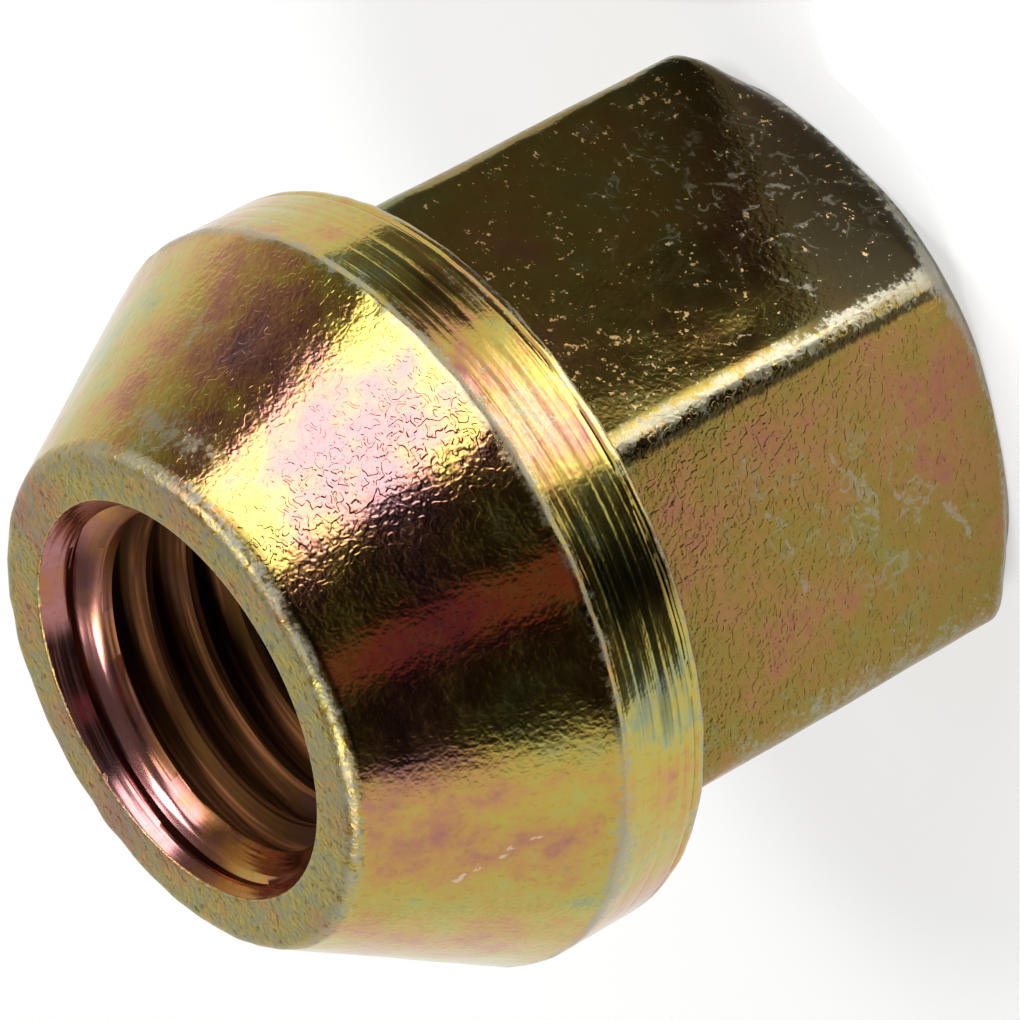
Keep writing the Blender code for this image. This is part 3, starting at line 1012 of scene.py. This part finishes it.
def softbox(name, azimuth, elevation, distance, width, height, brightness):
    """Rectangular lamp that faces the nut.

    Angles are in degrees and sizes in metres. Brightness is counted from plain
    white, which is one: the power of such a lamp is pi times its area times that.
    """
    lamp = bpy.data.lights.new(name, "AREA")
    lamp.shape = "RECTANGLE"
    lamp.size = width
    lamp.size_y = height
    lamp.energy = brightness * math.pi * width * height
    box = bpy.data.objects.new(name, lamp)
    bpy.context.scene.collection.objects.link(box)
    a = math.radians(azimuth)
    e = math.radians(elevation)
    way = Vector((math.cos(a) * math.cos(e), math.sin(a) * math.cos(e), math.sin(e)))
    box.location = nut_middle + distance * way
    box.rotation_mode = "QUATERNION"
    box.rotation_quaternion = way.to_track_quat("Z", "Y")


softbox("left_softbox", -165, 56, 1.5, 0.53, 0.53, 12.0)
softbox("right_softbox", -15, 58, 1.5, 0.53, 0.53, 12.0)
softbox("front_softbox", -43, 23, 0.5, 0.40, 0.20, 4.6)

# %% [markdown]
# ## Pools and cards
# A pool is a spot lamp straight above the paper. Its power is worked out so that
# the paper shines with a given brightness: a spot of some power throws the power
# over four pi in each direction, the distance squared thins that out, and the
# paper gives back its own share of it, spread over pi.

# %% Pools and cards
pool_drop = 0.5
pool_edge = 0.25
pool_lamp_radius = 0.004
paper_share = 0.93


def floor_pool(x, y, radius, brightness):
    """Spot high above that brightens one round pool of the floor, its place and radius in millimetres."""
    lamp = bpy.data.lights.new("pool_spot", "SPOT")
    lamp.energy = brightness * math.pi * pool_drop**2 * 4 * math.pi / paper_share
    lamp.spot_size = 2 * math.atan(radius * MM / pool_drop)
    lamp.spot_blend = pool_edge
    lamp.shadow_soft_size = pool_lamp_radius
    pool = bpy.data.objects.new("pool_spot", lamp)
    bpy.context.scene.collection.objects.link(pool)
    pool.location = (x * MM, y * MM, pool_drop)


floor_pool(8.5, -30.0, 10.5, 5.5)
floor_pool(3.4, -18.6, 6.4, 7.5)

# The dark strip lies on the grey card, so it is a little higher
grey_outline = [
    (11.6, -3.5), (10.1, -7), (8.5, -12), (7.4, -15.8), (19, -21.5), (26, -25), (38, -23), (38, -3.5),
]
strip_outline = [(8.4, -12.4), (7.4, -15.8), (19, -21.5), (26, -25), (27, -22), (18, -16.5), (11, -11.5)]
black_outline = [(-0.6, -15), (-0.6, -42), (-40, -42), (-40, -22), (-28, -20.8), (-19, -24.6)]
cards = [
    ("grey_card", grey_outline, 0.10, "5c5a56"),
    ("dark_strip", strip_outline, 0.15, "2a2826"),
    ("black_card", black_outline, 0.10, "141414"),
]
for name, card_outline, card_height, hex_colour in cards:
    card = flat_sheet(name, card_outline, card_height, matt_paper(name + "_paper", hex_colour))
print("cards:", [name for name, *_ in cards])

# %% [markdown]
# ## A light tent
# Round it all stands a tent. Its wall is white behind the nut and nearly black
# on the camera's side, with one red-brown strip that the cone mirrors as a dull
# stripe. The colours go round the wall by compass angle, so a ramp holds them,
# and a grey roof closes the top. The dark wall gives the gold its depth.

# %% World
world = bpy.data.worlds.new("light_tent")
bpy.context.scene.world = world
world.use_nodes = True
sky = world.node_tree

way = add_node(sky, "TexCoord", {}, {}).outputs["Generated"]
split = add_node(sky, "SeparateXYZ", {}, {0: way})
compass = add_node(sky, "Math", {"operation": "ARCTAN2"}, {0: split.outputs["Y"], 1: split.outputs["X"]})
turn = add_node(
    sky, "MapRange", {}, {"Value": compass.outputs["Value"], "From Min": -math.pi, "From Max": math.pi}
)
tent_wall = [
    (-164, "f8f8f8"), (-155, "15110e"), (-121, "15110e"), (-119, "7e464a"), (-106, "7e464a"),
    (-104, "15110e"), (-66, "15110e"), (-22, "2a2420"), (-6, "6c6660"), (8, "a09a92"), (24, "cac6be"),
    (40, "f4f4f2"),
]
wall = add_node(sky, "ValToRGB", {}, {"Fac": turn.outputs["Result"]})
set_ramp(wall, [((degrees + 180) / 360, hex_colour) for degrees, hex_colour in tent_wall])
roof = add_node(sky, "MapRange", {}, {"Value": split.outputs["Z"], "From Min": 0.5, "From Max": 0.68})
tent = add_node(
    sky, "Mix", {"data_type": "RGBA"},
    {"Factor": roof.outputs["Result"], "A": wall.outputs["Color"], "B": linear("6c6c6c")},
)
background = sky.nodes["Background"]
sky.links.new(next(output for output in tent.outputs if output.enabled), background.inputs["Color"])
background.inputs["Strength"].default_value = 1.0
print("stops round the tent:", len(tent_wall))

# %% [markdown]
# ## Camera
# The photograph looks down on the nut from about thirty degrees with a long
# lens, and it is turned on its side, so the nut seems to lie with its seat
# towards the lower left. A camera rolled about its line of sight gives the same
# picture of a nut that stands on its end.

# %% Camera
view_azimuth = math.radians(-2.12)
view_elevation = math.radians(30.88)
view_roll = math.radians(-118.55)
view_distance = 0.215066
view_aim = Vector((0.00022, -0.00042, 0.01111))

camera_data = bpy.data.cameras.new("camera")
camera_data.lens = 260.87
camera_data.sensor_width = 36.0
camera_data.clip_start = 0.01
camera_data.clip_end = 20.0
camera = bpy.data.objects.new("camera", camera_data)
bpy.context.scene.collection.objects.link(camera)
sight = Vector((
    -math.sin(view_azimuth) * math.cos(view_elevation),
    math.cos(view_azimuth) * math.cos(view_elevation),
    -math.sin(view_elevation),
))
camera.location = view_aim - view_distance * sight
camera.rotation_mode = "QUATERNION"
upright = sight.to_track_quat("-Z", "Y")
camera.rotation_quaternion = upright @ Quaternion((0, 0, 1), view_roll)
bpy.context.scene.camera = camera
print("camera at", [round(1000 * v, 1) for v in camera.location])

# %% [markdown]
# ## Colours as written and the end
# The standard view shows each colour as it is written.

# %% Colour management and the end
bpy.context.scene.view_settings.view_transform = "Standard"
bpy.context.scene.render.film_transparent = False
